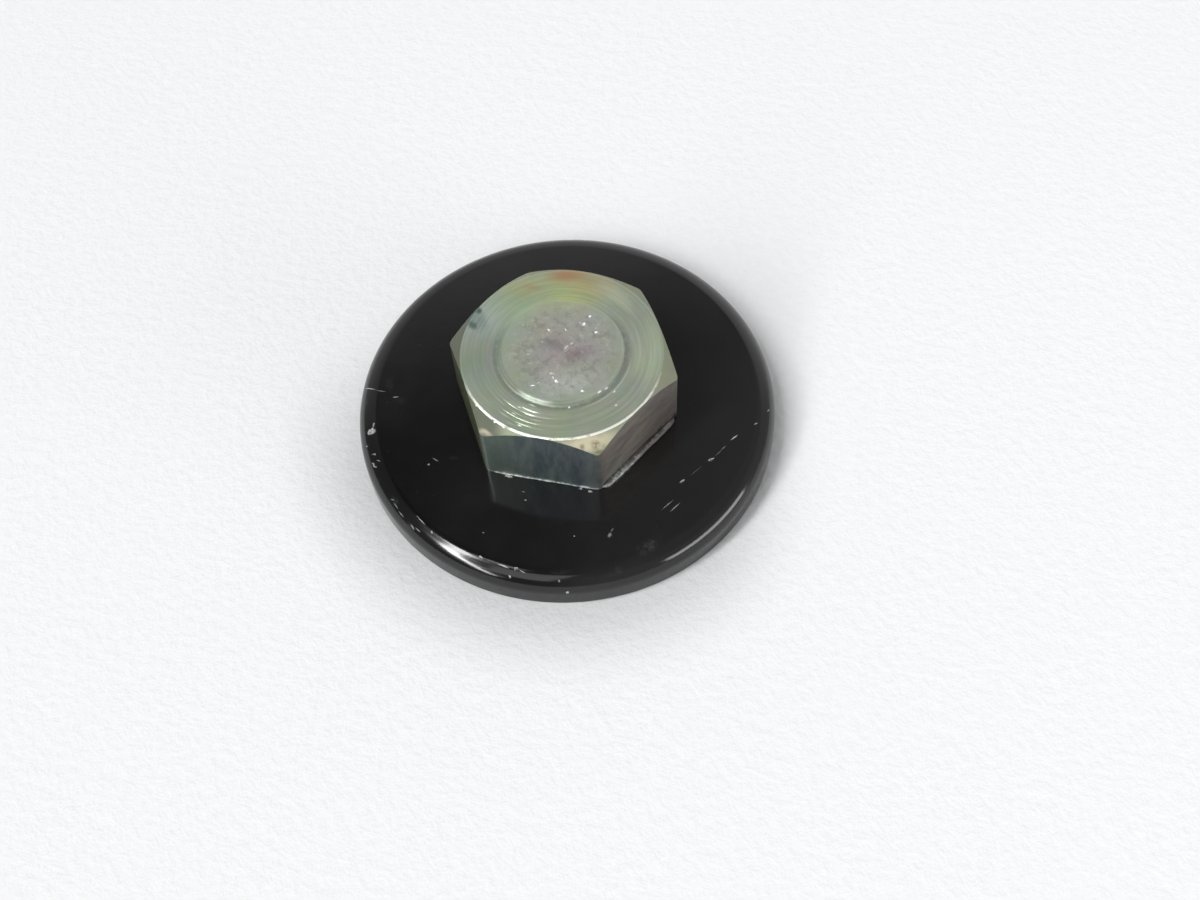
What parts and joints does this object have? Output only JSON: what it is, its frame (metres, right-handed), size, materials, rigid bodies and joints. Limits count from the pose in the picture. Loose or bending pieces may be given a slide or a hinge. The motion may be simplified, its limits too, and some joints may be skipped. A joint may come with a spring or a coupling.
{
  "type": "transmission oil filler cap",
  "caption": "Round pressed steel lid with a rolled-over edge, a blind hexagonal nut swaged into its centre and a rubber sealing ring inside; screws onto a stud to close an oil filler neck.",
  "frame": {"origin": "on the cap's axis, in the plane of the rim's lower edge", "axes": "+Z along the cap's axis, out of the top of the nut; +X through a corner of the hexagon; +Y square to a pair of its flats"},
  "size_m": [0.064, 0.064, 0.0184],
  "materials": {
    "black_paint": "gloss, chipped at the edge",
    "zinc_plate": "satin, yellow-green and pink passivation",
    "black_rubber": "matte"
  },
  "bodies": {
    "root": {"lid": "black_paint", "hex_nut": "zinc_plate", "sealing_ring": "black_rubber"}
  },
  "joints": []
}
